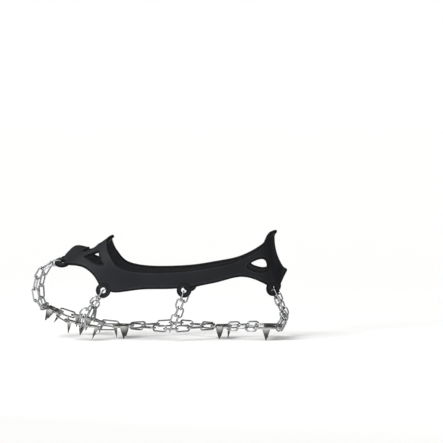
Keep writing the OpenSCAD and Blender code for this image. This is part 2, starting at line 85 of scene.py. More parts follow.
# %% [markdown]
# The harness is moulded rubber, nearly black and matt. A moulding tool leaves a fine grain, which
# breaks up the highlight, and handling leaves broad patches that are a little smoother. The patterns
# could be pictures wrapped round the strap, but noise at each point of space has no seam.

# %% Patterns on moulded rubber
GRAIN_MM = 0.9     # real moulding grain is near 0.3 mm, drawn coarser so that it shows
PATCH_MM = 38      # patches that handling has smoothed
SCUFF_MM = 5       # scuffs, which the dust and the breaks in the painted crest highlight follow
rubber, tree, shader = new_material("moulded_rubber")
place = add(tree, "ShaderNodeTexCoord").outputs["Object"]
grain, patch, scuff = (
    add(tree, "ShaderNodeTexNoise", None,
        {"Vector": place, "Scale": 1 / (size * MM), "Detail": detail, "Roughness": rough}).outputs["Fac"]
    for size, detail, rough in ((GRAIN_MM, 3.0, 0.5), (PATCH_MM, 2.0, 0.5), (SCUFF_MM, 6.0, 0.7)))
print("grain, patches and scuffs in mm:", GRAIN_MM, PATCH_MM, SCUFF_MM)

# %% [markdown]
# Every rim gets painted shade: its colour is darkened for the light that it turns away from. Beside
# it the crest of the bead gets a painted highlight, broken up here and there, and dust lies pale
# in places. These marks could be painted by hand, but the mesh carries each point's distance to the
# nearest rim, so they follow the edges of the real piece by themselves.

# %% Colour, dust, painted rim shade and painted crest highlight of the rubber
RIM_SHADE_MM = (1.7, 2.9)                                     # where the painted shade on the rim ends
CREST_UP_MM, CREST_DOWN_MM = (2.3, 3.1), (4.6, 3.2)     # where the painted highlight on the crest of the bead comes and goes
CREST_HIGHLIGHT_LEVELS, CREST_HIGHLIGHT_MOST = (0.35, 0.65), 0.8          # scuff levels that let the painted crest highlight through, and how strong it gets
DUSTY_LEVELS, DUSTY_MOST = (0.6, 0.8), 0.5              # the same for dust anywhere on the band
rim = add(tree, "ShaderNodeAttribute", {"attribute_name": "rim_mm"}).outputs["Fac"]
inside, rising, falling = (
    add(tree, "ShaderNodeMapRange", None,
        {"Value": rim, "From Min": start, "From Max": end}).outputs["Result"]
    for start, end in (RIM_SHADE_MM, CREST_UP_MM, CREST_DOWN_MM))
crest_breakup, dusty = (
    add(tree, "ShaderNodeMapRange", None,
        {"Value": scuff, "From Min": start, "From Max": end, "To Max": most}).outputs["Result"]
    for (start, end), most in ((CREST_HIGHLIGHT_LEVELS, CREST_HIGHLIGHT_MOST), (DUSTY_LEVELS, DUSTY_MOST)))
crest = add(tree, "ShaderNodeMath", {"operation": "MULTIPLY"}, {0: rising, 1: falling}).outputs[0]
crest_highlight = add(tree, "ShaderNodeMath", {"operation": "MULTIPLY"}, {0: crest, 1: crest_breakup}).outputs[0]
dust_and_crest_highlight = add(tree, "ShaderNodeMath", {"operation": "MAXIMUM"}, {0: crest_highlight, 1: dusty}).outputs[0]
band = add(tree, "ShaderNodeMix", {"data_type": "RGBA"},
           {"Factor": patch, "A": linear("#131416"), "B": linear("#1e1f22")}).outputs["Result"]
# Painted shade: the colour goes to near black (#060607) at every rim, for the light that the rim turns away
# from.
rim_shaded = add(tree, "ShaderNodeMix", {"data_type": "RGBA"},
             {"Factor": inside, "A": linear("#060607"), "B": band}).outputs["Result"]
# Dust and a painted highlight: the colour goes pale (#2b2c31) where dust lies, and along the crest of the
# bead for the light that the bead catches.
dusted_and_highlit = add(tree, "ShaderNodeMix", {"data_type": "RGBA"},
           {"Factor": dust_and_crest_highlight, "A": rim_shaded, "B": linear("#2b2c31")}).outputs["Result"]
tree.links.new(dusted_and_highlit, shader.inputs["Base Color"])
print("the rim is dark up to", RIM_SHADE_MM[0], "mm, and the crest is palest at", CREST_UP_MM[1], "mm")

# %% [markdown]
# Matt rubber still has a weak sheen, stronger where it has been handled. Its grain could be real
# geometry, but that would need far more faces than the strap has, so it only tips the normal.

# %% Gloss and grain of the rubber
PLAIN_ROUGH, HANDLED_ROUGH = 0.62, 0.48
GRAIN_DEPTH_MM, GRAIN_STRENGTH = 0.15, 0.15
RUBBER_IOR = 1.52
RUBBER_SPECULAR = 0.12     # under the default of 0.5, because dust and fine grain dull the surface
gloss = add(tree, "ShaderNodeMapRange", None,
            {"Value": patch, "To Min": PLAIN_ROUGH, "To Max": HANDLED_ROUGH}).outputs["Result"]
bump = add(tree, "ShaderNodeBump", None,
           {"Height": grain, "Strength": GRAIN_STRENGTH, "Distance": GRAIN_DEPTH_MM * MM}).outputs["Normal"]
tree.links.new(gloss, shader.inputs["Roughness"])
tree.links.new(bump, shader.inputs["Normal"])
shader.inputs["IOR"].default_value = RUBBER_IOR
shader.inputs["Specular IOR Level"].default_value = RUBBER_SPECULAR
print("made", rubber.name)

# %% [markdown]
# The plates are pressed from stainless sheet. Ice and grit polish their corners. Real rounding
# would need new meshes, so a Bevel node gives the normal of a rounded corner, and where that leaves
# the true normal there is an edge.

# %% Polished corners of the plates
EDGE_MM, EDGE_SAMPLES = 0.5, 6
EDGE_COSINES = (0.995, 0.88)     # where the polish starts, and where it is full


def polished_corners(tree):
    """The rounded normal, and a mask from (rounded normal . true normal): 0 on a flat face, 1 at a corner."""
    rounded = add(tree, "ShaderNodeBevel", {"samples": EDGE_SAMPLES},
                  {"Radius": EDGE_MM * MM}).outputs["Normal"]
    true = add(tree, "ShaderNodeNewGeometry").outputs["Normal"]
    same = add(tree, "ShaderNodeVectorMath", {"operation": "DOT_PRODUCT"}, {0: rounded, 1: true})
    corner = add(tree, "ShaderNodeMapRange", None,
                 {"Value": same.outputs["Value"], "From Min": EDGE_COSINES[0], "From Max": EDGE_COSINES[1]})
    return rounded, corner.outputs["Result"]


print("corners rounded by", EDGE_MM, "mm")

# %% [markdown]
# The sheet is brushed along its length. The teeth are bent down by a press, and their colour gets
# painted shade, for the dark that they show as they turn away from the light. The mask that finds
# them measures depth below the sheet, so a tilted plate needs its own turn: one material for each
# tilt. The plates lie on a curve that climbs towards the toe, which gives each one's height and tilt.

# %% Brushed stainless
TOE, HEEL, TREAD = -154.4, 145.6, 15.0     # both ends, and the level of the flat plates, in mm
TOE_RISE, TOE_CLIMB = 34.0, 105.0          # how far the plates climb towards the toe, and over what length
SHEET_MM = 2.0
TOOTH_STARTS_MM, TOOTH_FULL_MM = 1.2 * SHEET_MM, 4 * SHEET_MM     # depths over which the painted shade on a tooth comes in
BRUSH_MM = (7.0, 0.28, 0.28)     # a scratch is long and narrow; 0.28 mm is coarser than real, so it shows
BRUSH_DEPTH_MM, BRUSH_STRENGTH = 0.05, 0.25
CLOUD_MM = 9                     # duller and brighter clouds in the brushing
STEEL_ROUGH = (0.24, 0.4)


def brushed_stainless(name, x_mm):
    """Plate finish, with its pattern turned to the frame of a plate at x by a Mapping node. The plates lie
    on a parabola: with c = (toe + climb - x) / climb, or 0 on the flat, the height is rise c^2 and the slope
    2 c rise / climb."""
    material, tree, shader = new_material(name)
    climbed = max(0.0, (TOE + TOE_CLIMB - x_mm) / TOE_CLIMB)
    top_mm = (x_mm, 0, TREAD + TOE_RISE * climbed ** 2)
    tilt = np.arctan(2 * TOE_RISE / TOE_CLIMB * climbed)
    place = add(tree, "ShaderNodeTexCoord").outputs["Object"]
    moved = add(tree, "ShaderNodeMapping", {"vector_type": "TEXTURE"},
                {"Vector": place, "Location": [v * MM for v in top_mm],
                 "Rotation": (0, tilt, 0)}).outputs["Vector"]
    drawn = add(tree, "ShaderNodeMapping", None,
                {"Vector": moved, "Scale": [1 / (v * MM) for v in BRUSH_MM]}).outputs["Vector"]
    scratch = add(tree, "ShaderNodeTexNoise", None,
                  {"Vector": drawn, "Scale": 1.0, "Detail": 4.0}).outputs["Fac"]
    cloud = add(tree, "ShaderNodeTexNoise", None,
                {"Vector": moved, "Scale": 1 / (CLOUD_MM * MM), "Detail": 2.0}).outputs["Fac"]
    height = add(tree, "ShaderNodeSeparateXYZ", None, {"Vector": moved}).outputs["Z"]
    tooth_shade = add(tree, "ShaderNodeMapRange", None,
                {"Value": height, "From Min": -TOOTH_STARTS_MM * MM,
                 "From Max": -TOOTH_FULL_MM * MM}).outputs["Result"]
    sheet = add(tree, "ShaderNodeMix", {"data_type": "RGBA"},
                {"Factor": scratch, "A": linear("#8f8e8c"), "B": linear("#c9c8c6")}).outputs["Result"]
    # Painted shade: the teeth's colour goes dark (#4c4a47) with depth below the sheet.
    tooth_shaded = add(tree, "ShaderNodeMix", {"data_type": "RGBA"},
                  {"Factor": tooth_shade, "A": sheet, "B": linear("#4c4a47")}).outputs["Result"]
    rounded, corner = polished_corners(tree)
    edged = add(tree, "ShaderNodeMix", {"data_type": "RGBA"},
                {"Factor": corner, "A": tooth_shaded, "B": linear("#f2f1ee")}).outputs["Result"]
    gloss = add(tree, "ShaderNodeMapRange", None,
                {"Value": cloud, "To Min": STEEL_ROUGH[0], "To Max": STEEL_ROUGH[1]}).outputs["Result"]
    bump = add(tree, "ShaderNodeBump", None,
               {"Height": scratch, "Normal": rounded, "Strength": BRUSH_STRENGTH,
                "Distance": BRUSH_DEPTH_MM * MM}).outputs["Normal"]
    tree.links.new(edged, shader.inputs["Base Color"])
    tree.links.new(gloss, shader.inputs["Roughness"])
    tree.links.new(bump, shader.inputs["Normal"])
    shader.inputs["Metallic"].default_value = 1.0
    print(f"{name}: top at {top_mm[2]:.1f} mm, tilt {np.degrees(tilt):.1f} degrees")
    return material


print("teeth turn dark from", TOOTH_STARTS_MM, "to", TOOTH_FULL_MM, "mm below the top of a plate")

# %% [markdown]
# The ball, arch and heel plates lie flat and share one finish, the two at the forefoot share
# another, and the toe plate has its own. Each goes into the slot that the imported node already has.

# %% Finish the plates
ON_THE_FLAT, FORE_PLATES, TOE_PLATE = 0.0, TOE + 66, TOE + 27
flat_steel = brushed_stainless("brushed_stainless_flat", ON_THE_FLAT)
fore_steel = brushed_stainless("brushed_stainless_forefoot", FORE_PLATES)
toe_steel = brushed_stainless("brushed_stainless_toe", TOE_PLATE)
PLATES = {"toe_plate": toe_steel, "forefoot_plate_left": fore_steel, "forefoot_plate_right": fore_steel,
          "ball_plate": flat_steel, "arch_plate": flat_steel, "heel_plate": flat_steel}
for node, finish in PLATES.items():
    frame["nodes"][node].material_slots[0].material = finish
print("plates finished:", len(PLATES))

# %% [markdown]
# The chain is bent and welded from drawn wire, then plated. Rubbing polishes it. Where one link
# sits in the next, its colour gets painted shade. That could be painted link by link, but ambient
# occlusion measures how closed in a point is, so it finds those places.

# %% Plated wire
RUB_MM = 2.2
NOOK_MM, NOOK_SAMPLES = 2.4, 8
NOOK_OPEN = (0.25, 0.8)     # the painted shade fades as a point goes from this closed in to this open
WIRE_ROUGH = (0.22, 0.06)
wire_steel, tree, shader = new_material("plated_chain_wire")
place = add(tree, "ShaderNodeTexCoord").outputs["Object"]
rub = add(tree, "ShaderNodeTexNoise", None,
          {"Vector": place, "Scale": 1 / (RUB_MM * MM), "Detail": 3.0}).outputs["Fac"]
nook = add(tree, "ShaderNodeAmbientOcclusion", {"samples": NOOK_SAMPLES},
           {"Distance": NOOK_MM * MM}).outputs["AO"]
unshaded = add(tree, "ShaderNodeMapRange", None,
            {"Value": nook, "From Min": NOOK_OPEN[0], "From Max": NOOK_OPEN[1]}).outputs["Result"]
plated = add(tree, "ShaderNodeMix", {"data_type": "RGBA"},
             {"Factor": rub, "A": linear("#4e5053"), "B": linear("#d2d4d6")}).outputs["Result"]
# Painted shade: the colour goes near black (#171718) where links close in on each other.
nook_shaded = add(tree, "ShaderNodeMix", {"data_type": "RGBA"},
            {"Factor": unshaded, "A": linear("#171718"), "B": plated}).outputs["Result"]
gloss = add(tree, "ShaderNodeMapRange", None,
            {"Value": rub, "To Min": WIRE_ROUGH[0], "To Max": WIRE_ROUGH[1]}).outputs["Result"]
tree.links.new(nook_shaded, shader.inputs["Base Color"])
tree.links.new(gloss, shader.inputs["Roughness"])
shader.inputs["Metallic"].default_value = 1.0
chains = [name for name in frame["nodes"] if name != "harness" and "plate" not in name]
for name in chains:
    frame["nodes"][name].material_slots[0].material = wire_steel
print("chain runs finished:", len(chains))

# %% [markdown]
# The strap is a closed loop. A flat band could be bent into it, but its width changes all the way
# round, so it is drawn as a surface between two closed edges, a lower one and an upper one. Each
# edge is a smooth curve through a few points, in millimetres. Their heights and places along were
# read off a picture of the real piece, and the width that it is stretched to puts them out sideways.

# %% The two edges of the strap
BALL_Y, HEEL_Y = 56.0, 42.0
WAIST, FORE, FRONT = HEEL - 117, TOE + 91, TOE + 41     # how far along the eyelets lie
MIDWAY = (WAIST + FORE) / 2


def half_width(x):
    """Half the width that the cleat is stretched to: a straight taper from the ball to the heel."""
    return HEEL_Y + (BALL_Y - HEEL_Y) * np.clip((HEEL - x) / (HEEL - FORE), 0, 1)


LOW = np.array([
    [HEEL - 3, 0, TREAD + 63], [HEEL - 10, HEEL_Y - 15, TREAD + 50], [HEEL - 26, HEEL_Y - 4, TREAD + 53],
    [HEEL - 52, HEEL_Y, TREAD + 59], [WAIST + 33, half_width(WAIST + 33), TREAD + 52],
    [WAIST - 3, half_width(WAIST - 3), TREAD + 46], [MIDWAY, half_width(MIDWAY), TREAD + 45],
    [FORE + 7, BALL_Y, TREAD + 42], [FORE - 7, BALL_Y - 1, TREAD + 57], [FORE - 23, BALL_Y - 9, TREAD + 69],
    [FRONT + 4, 32, TREAD + 75], [FRONT + 8, 0, TREAD + 86]])
HIGH = np.array([
    [HEEL - 16, 0, TREAD + 110], [HEEL - 22, HEEL_Y - 27, TREAD + 107], [HEEL - 31, HEEL_Y - 12, TREAD + 93],
    [HEEL - 56, HEEL_Y - 2, TREAD + 79], [WAIST + 31, half_width(WAIST + 31) - 1, TREAD + 72],
    [WAIST - 3, half_width(WAIST - 3) - 2, TREAD + 67], [MIDWAY, half_width(MIDWAY) - 2, TREAD + 66],
    [FORE + 19, BALL_Y - 4, TREAD + 71], [FORE + 7, BALL_Y - 11, TREAD + 84],
    [FORE + 3, BALL_Y - 26, TREAD + 96], [FORE + 4, BALL_Y - 41, TREAD + 102], [FORE + 7, 0, TREAD + 104]])
MIRROR = np.array([1, -1, 1])


def whole_loop(half):
    """The right half followed by its mirror image, without the two shared middle points twice."""
    return np.vstack([half, half[-2:0:-1] * MIRROR]) * MM


LOW_LOOP, HIGH_LOOP = whole_loop(LOW), whole_loop(HIGH)
LOOP = len(LOW_LOOP)


def on_loop(points, u):
    """Catmull-Rom: between points b and c, b + t/2 (c - a + t (2a - 5b + 4c - d + t (3(b - c) + d - a)))."""
    i = np.floor(u).astype(int)
    t = (u - i)[..., None]
    a, b, c, d = (points[(i + k) % len(points)] for k in (-1, 0, 1, 2))
    return b + t / 2 * (c - a + t * (2 * a - 5 * b + 4 * c - d + t * (3 * (b - c) + d - a)))


print("points round each edge:", LOOP)

# %% [markdown]
# Each eyelet sits in a round ear on the lower edge. Three on each side carry a chain that swings
# there, so the model's joints give their places and the way they face. The chain at the front is
# held still, so that eyelet is written down here.

# %% Eyelets
FRONT_EYELET = np.array([FRONT, 31, TREAD + 74]) * MM
FRONT_FACES = np.array([0.02, 0.48, 0.88])
DROPS = {"fore": "forefoot_drop", "waist": "waist_drop", "rear": "rear_drop"}
swings = {joint["child"]: joint for joint in frame["joints"]}
eyelets = []
for side, s in (("left", -1), ("right", 1)):
    flip = np.array([1, s, 1])
    eyelets.append(("front", side, FRONT_EYELET * flip, FRONT_FACES * flip / np.linalg.norm(FRONT_FACES)))
    for name, drop in DROPS.items():
        joint = swings[f"{drop}_{side}"]
        eyelets.append((name, side, np.array(joint["pos_m"]), np.array(joint["axis"])))
print("eyelets:", len(eyelets))

# %% [markdown]
# On the real harness the edge sweeps down into the ear. More points on the edge could draw that,
# but the eyelets' places come from the joints, so the edge is led to a line just above each eyelet
# instead. Then it is pushed out to a circle round the bore, so that the chain has room.

# %% The edge that leads to the eyelets
EAR_RISE_MM, EAR_REACH_MM = 2.0, 11.0     # the edge's height over an eyelet, and how far its sweep reaches
BORE_CLEAR_MM = 4.8


def lower_edge(u):
    """The lower curve. With h the height over an eyelet and s the way along from it, it moves down by
    (h - rise) exp(-(s / reach)^2). Then it is kept at least the bore's clearance away from the eyelet."""
    p = on_loop(LOW_LOOP, u)
    up = on_loop(HIGH_LOOP, u) - p
    up /= np.linalg.norm(up, axis=-1, keepdims=True)
    for _, _, e, _ in eyelets:
        h = np.sum((p - e) * up, axis=-1)
        s2 = np.sum((p - e) ** 2, axis=-1) - h ** 2
        p = p - up * ((h - EAR_RISE_MM * MM) * np.exp(-s2 / (EAR_REACH_MM * MM) ** 2))[..., None]
        d = np.linalg.norm(p - e, axis=-1, keepdims=True)
        p = e + (p - e) * np.maximum(d, BORE_CLEAR_MM * MM) / d
    return p


def near_eyelet(p):
    """Distance of each point from the nearest eyelet."""
    return np.min([np.linalg.norm(p - e, axis=-1) for _, _, e, _ in eyelets], axis=0)


edge_mm = near_eyelet(lower_edge(np.arange(0, LOOP, 0.02))) / MM
print("the edge comes within", edge_mm.min().round(1), "mm of an eyelet")

# %% [markdown]
# Across its width the strap swells outwards a little. At the back of the heel it is hollow
# instead, with a lip along its lower edge and a small hook at the top of the pull tab. The
# toe bridge rises, dips, and turns up at its rear edge, which a polynomial in v gives. Near each
# eyelet the strap is laid into the plane of the ear.

# %% The strap as a function of two parameters
SWELL, HEEL_DISH = 0.05, 0.10           # shares of the strap's width
SWEEP_POWER = 3                         # how fast the sweep into the ears dies out across the strap
BRIDGE_U, BRIDGE_SPREAD = 11.0, 1.1     # the middle of the bridge on the loop, and how far it reaches
BRIDGE_WAVE_MM = (60, -290, 220)        # a, b and c of its polynomial
# Height of the lip and the hook, their share of the strap's width, and how far they reach along the loop
LIP_MM, LIP_SHARE, LIP_SPREAD = 2.5, 0.16, 0.6
HOOK_MM, HOOK_SHARE, HOOK_SPREAD = 3.2, 0.14, 0.42
FACE_STEP, SLOPE_STEP = 0.02, 1e-3      # steps in u and v that give directions


def from_heel(u):
    """Steps along the loop from the back of the heel, with a sign."""
    return (u + LOOP / 2) % LOOP - LOOP / 2


def strap(u, v):
    """Middle of the rubber: straight across from the lower curve (v = 0) to the upper one (v = 1), with the
    edge's sweep into the ears faded by (1-v)^power. It is moved outwards by a parabola 4v(1-v), by the
    bridge's v(1-v)(a+bv+cv^2), and by squares at lip and hook. Near an eyelet it is laid into the ear's
    plane: p - ((p-e).n) n exp(-(|p-e| / reach)^2)."""
    low, high = on_loop(LOW_LOOP, u), on_loop(HIGH_LOOP, u)
    sweep = (lower_edge(u) - low) * ((1 - v) ** SWEEP_POWER)[..., None]
    flat = low + (high - low) * v[..., None] + sweep
    along = (on_loop(LOW_LOOP, u + FACE_STEP) + on_loop(HIGH_LOOP, u + FACE_STEP)
             - on_loop(LOW_LOOP, u - FACE_STEP) - on_loop(HIGH_LOOP, u - FACE_STEP))
    face = np.cross(along, high - low)
    face /= np.linalg.norm(face, axis=-1, keepdims=True)
    width = np.linalg.norm(high - low, axis=-1)
    back = from_heel(u)
    bridge = np.exp(-((u % LOOP - BRIDGE_U) / BRIDGE_SPREAD) ** 2)
    swell = SWELL * (1 - bridge) - (SWELL + HEEL_DISH) * np.exp(-back ** 2)
    a, b, c = BRIDGE_WAVE_MM
    wave = bridge * MM * v * (1 - v) * (a + b * v + c * v ** 2)
    lip = LIP_MM * MM * np.exp(-(back / LIP_SPREAD) ** 2) * np.clip(1 - v / LIP_SHARE, 0, 1) ** 2
    hook = HOOK_MM * MM * np.exp(-(back / HOOK_SPREAD) ** 2) * np.clip(1 - (1 - v) / HOOK_SHARE, 0, 1) ** 2
    p = flat + face * (swell * width * 4 * v * (1 - v) + wave + lip + hook)[..., None]
    for _, _, e, n in eyelets:
        near = np.exp(-(np.linalg.norm(p - e, axis=-1) / (EAR_REACH_MM * MM)) ** 2)
        p = p - (((p - e) @ n) * near)[..., None] * n
    return p


def outward(u, v):
    """Unit normal of the strap: the cross product of its two directions, by small steps."""
    along = strap(u + SLOPE_STEP, v) - strap(u - SLOPE_STEP, v)
    over = strap(u, v + SLOPE_STEP) - strap(u, v - SLOPE_STEP)
    n = np.cross(along, over)
    return n / np.linalg.norm(n, axis=-1, keepdims=True)


print("strap at the back of the heel:", (strap(np.zeros(3), np.array([0, 0.5, 1])) / MM).round(1).tolist())

# %% [markdown]
# A cut through the rubber shows a flat band with rounded edges and a small bead along each edge,
# which stops a tear from starting. The same bead goes round every hole, so one function gives
# the half thickness from the distances to the nearest rims. Near an eyelet the band thins, so
# that the ear stands proud of it.

# %% Half thickness of the rubber
HALF_MM, ROUND_MM = 1.5, 2.2           # half the band's thickness, and the rounding of an edge
BEAD_MM, BEAD_REACH_MM = 0.8, 2.4
EAR_THIN = 0.45                        # share of the thickness that is gone at an eyelet


def half_thickness(to_eyelet, *rims):
    """(half + sum of bead * exp(-(d / reach)^2)) times the product of quarter rounds
    sqrt(1 - (1 - d / round)^2), where d is the distance to each rim in metres. Near an eyelet it is thinned
    by exp(-(distance to the eyelet / reach)^2)."""
    ear = np.exp(-(to_eyelet / MM / EAR_REACH_MM) ** 2)
    thick, ends = HALF_MM * (1 - EAR_THIN * ear), 1.0
    for d in rims:
        thick = thick + BEAD_MM * (1 - ear) * np.exp(-(d / MM / BEAD_REACH_MM) ** 2)
        ends = ends * np.sqrt(np.clip(1 - (1 - np.clip(d / MM / ROUND_MM, 0, 1)) ** 2, 0, 1))
    return thick * ends * MM


def edge_distances(u, v):
    """Distance of a point of the strap from its lower and upper edges, straight across."""
    width = np.linalg.norm(on_loop(HIGH_LOOP, u) - lower_edge(u), axis=-1)
    return v * width, (1 - v) * width


band_mm = half_thickness(np.array(np.inf), np.array([0, 1, BEAD_REACH_MM, 10]) * MM) / MM
print("half thickness at a rim, near it, on the bead and on the band:", band_mm.round(2).tolist())

# %% [markdown]
# The strap is one grid: columns go round the loop, and each column is a closed ring that goes up
# the outside and down the inside. Rows crowd towards the edges, where the rounding is.

# %% Grid of the strap
COLUMNS, ROWS = LOOP * 24, 36
RING = 2 * ROWS
u_line = np.arange(COLUMNS) * LOOP / COLUMNS
v_line = 0.5 - 0.5 * np.cos(np.pi * np.arange(ROWS + 1) / ROWS)
ring_rows = np.concatenate([np.arange(ROWS + 1), np.arange(ROWS - 1, 0, -1)])
ring_way = np.where(np.arange(RING) <= ROWS, 1.0, -1.0)
uu, vv = np.meshgrid(u_line, v_line[ring_rows], indexing="ij")
middle, rims = strap(uu, vv), edge_distances(uu, vv)
skin = middle + outward(uu, vv) * (half_thickness(near_eyelet(middle), *rims) * ring_way)[..., None]
points = [skin.reshape(-1, 3)]
rim_mm = [(np.minimum(*rims) / MM).ravel()]
ci, ri = np.meshgrid(np.arange(COLUMNS), np.arange(RING), indexing="ij")
cell = np.stack([ci * RING + ri, (ci + 1) % COLUMNS * RING + ri,
                 (ci + 1) % COLUMNS * RING + (ri + 1) % RING, ci * RING + (ri + 1) % RING], -1)
keep = np.ones((COLUMNS, RING), bool)
quads = []
print("strap grid:", skin.shape)

# %% [markdown]
# An oval hole is pierced on each side of the heel. The toe bridge has three windows: one with a
# straight side on each flank, and a long one across the middle, so that two slim bars are left. A
# Boolean cut would leave sharp rims, so a block of cells is taken out, and a sleeve fills the space
# between the block and the hole: it runs in over the outside, round the rim, and back over the
# inside. First, the place and the two directions of a hole on the strap are found.

# %% Where a hole lies on the strap
COARSE_COLUMNS, COARSE_ROWS, COARSE_EDGE = 880, 91, 0.05
coarse_u, coarse_v = np.meshgrid(np.linspace(0, LOOP, COARSE_COLUMNS, endpoint=False),
                                 np.linspace(COARSE_EDGE, 1 - COARSE_EDGE, COARSE_ROWS), indexing="ij")
coarse = strap(coarse_u, coarse_v)


def hole_place(middle_mm):
    """(u, v) of the strap's point nearest to a place, and the matrix that takes small steps in (u, v) to
    metres along the strap and across it: its rows are the strap's two slopes, split along and across."""
    best = np.argmin(np.linalg.norm(coarse - np.array(middle_mm) * MM, axis=-1))
    place = np.array([coarse_u.ravel()[best], coarse_v.ravel()[best]])
    slope_u, slope_v = [(strap(*(place + step)) - strap(*(place - step))) / (2 * SLOPE_STEP)
                        for step in np.eye(2) * SLOPE_STEP]
    along = slope_u / np.linalg.norm(slope_u)
    across = slope_v - (slope_v @ along) * along
    across /= np.linalg.norm(across)
    return place, np.array([[slope_u @ along, 0], [slope_v @ along, slope_v @ across]])


print("coarse points on the strap:", coarse_u.size)

# %% [markdown]
# Then the block is taken out of both skins of the grid, and its border is followed once round.

# %% Take out a block of cells
def cut_block(low, high):
    """Take the cells between two corners in (u, v) out of both skins. Gives the columns and rows of the
    block's border, in order round it."""
    i0, i1 = int(np.floor(low[0] * COLUMNS / LOOP)), int(np.ceil(high[0] * COLUMNS / LOOP))
    j0, j1 = max(1, np.searchsorted(v_line, low[1]) - 1), min(ROWS - 1, np.searchsorted(v_line, high[1]))
    columns = np.arange(i0, i1) % COLUMNS
    assert keep[np.ix_(columns, np.arange(j0, j1))].all(), "two holes share cells"
    keep[np.ix_(columns, np.arange(j0, j1))] = False
    keep[np.ix_(columns, np.arange(RING - j1, RING - j0))] = False
    wide, tall = i1 - i0, j1 - j0
    i = np.concatenate([np.arange(i0, i1), np.full(tall, i1), np.arange(i1, i0, -1), np.full(tall, i0)])
    j = np.concatenate([np.full(wide, j0), np.arange(j0, j1), np.full(wide, j1), np.arange(j1, j0, -1)])
    return i, j


print("cells before any hole:", keep.sum())

# %% [markdown]
# The sleeve joins every point on the block's border to the point of the outline in the same
# direction, so the two rings have as many points as each other and the mesh stays closed.

# %% Cut a hole and line it
SLEEVE = 14


def sleeve_rings(uv):
    """Rings of points over rings of (u, v), out on one skin and back on the other, as thick as the strap,
    and each point's distance to the nearest rim in millimetres. The last ring of (u, v) is the hole's rim."""
    mid, face = strap(uv[..., 0], uv[..., 1]), outward(uv[..., 0], uv[..., 1])
    to_rim = np.linalg.norm(mid - mid[-1], axis=-1)
    rims = (*edge_distances(uv[..., 0], uv[..., 1]), to_rim)
    depth = half_thickness(near_eyelet(mid), *rims)[..., None]
    nearest = np.min(rims, axis=0) / MM
    return (np.concatenate([mid + face * depth, (mid - face * depth)[-2::-1]]),
            np.concatenate([nearest, nearest[-2::-1]]))


def pierce(middle_mm, outline_mm, margin_mm):
    """Cut a hole whose outline (x along the strap, y across it) is given round its middle, and add its
    sleeve: a straight blend in (u, v) from the block's border to the outline."""
    place, steps = hole_place(middle_mm)
    rim_local = outline_mm.T * MM
    rim = place + rim_local @ np.linalg.inv(steps)
    pad = margin_mm * MM / np.diag(steps)
    i, j = cut_block(rim.min(0) - pad, rim.max(0) + pad)
    border = np.stack([i * LOOP / COLUMNS, v_line[j]], -1)
    local = (border - place) @ steps
    angles = np.arctan2(rim_local[:, 1], rim_local[:, 0])
    order = np.argsort(angles)
    target = np.arctan2(local[:, 1], local[:, 0])
    hole = np.stack([np.interp(target, angles[order], rim[order, k], period=2 * np.pi) for k in (0, 1)], -1)
    r = np.sin(np.pi / 2 * np.arange(1, SLEEVE + 1) / SLEEVE)[:, None, None]
    rings, nearest = sleeve_rings(border * (1 - r) + hole * r)
    start = sum(len(p) for p in points)
    points.append(rings.reshape(-1, 3))
    rim_mm.append(nearest.ravel())
    index = np.concatenate([[i % COLUMNS * RING + j],
                            start + np.arange(nearest.size).reshape(nearest.shape),
                            [i % COLUMNS * RING + (RING - j) % RING]])
    near, far = index[:-1], index[1:]
    quads.append(np.stack([near, np.roll(near, -1, 1), np.roll(far, -1, 1), far], -1).reshape(-1, 4))
    return place.round(2).tolist()


print("rings in a sleeve:", 2 * SLEEVE - 1)

# %% [markdown]
# The outlines: an ellipse at the heel, a box-like ellipse for the long window, and a smooth curve
# through a few points on the flank. A size holds at the middle of its hole. The grid's columns
# spread out from the middle of the bridge, so the long window comes out about 58 mm long.

# %% Holes and windows
OVAL_MM, LONG_MM, LONG_POWERS = (11.5, 6.5), (22.5, 10.0), (0.5, 0.7)
FLANK_MM = np.array([[-10.5, -5], [-9, 0.5], [-7, 6], [-1, 4.5], [4.5, 4], [11, 4.5],
                     [10.5, 0], [4.5, -4], [-1.5, -5.5], [-6.5, -6]])
HEEL_HOLE_AT = np.array([HEEL - 32, HEEL_Y - 4, TREAD + 72])
FLANK_AT = np.array([FORE - 9, 44, TREAD + 79.5])
LONG_AT = np.array([FORE - 12, 0, TREAD + 93])
HOLE_MARGIN_MM, WINDOW_MARGIN_MM = 3.0, 1.2
OUTLINE_STEPS = 721


def squared_ellipse(size_mm, powers):
    """x = a cos(t) |cos(t)|^(p - 1) and y = b sin(t) |sin(t)|^(q - 1): an ellipse at 1, a box towards 0."""
    t = np.linspace(0, 2 * np.pi, OUTLINE_STEPS)
    turn = np.stack([np.cos(t), np.sin(t)])
    return np.array(size_mm)[:, None] * np.sign(turn) * np.abs(turn) ** np.array(powers)[:, None]


heel_oval, long_window = squared_ellipse(OVAL_MM, (1, 1)), squared_ellipse(LONG_MM, LONG_POWERS)
flank_window = on_loop(FLANK_MM, np.linspace(0, len(FLANK_MM), OUTLINE_STEPS)).T
for s in (1, -1):
    flip = np.array([1, s, 1])
    print("heel hole at", pierce(HEEL_HOLE_AT * flip, heel_oval, HOLE_MARGIN_MM))
    print("flank window at", pierce(FLANK_AT * flip, flank_window * [[-s], [1]], WINDOW_MARGIN_MM))
print("long window at", pierce(LONG_AT, long_window, WINDOW_MARGIN_MM))

# %% [markdown]
# The cells that are left and the sleeves become one closed mesh, which stands for the harness of
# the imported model. It rides on the same body, and it carries the distances that the finish reads.

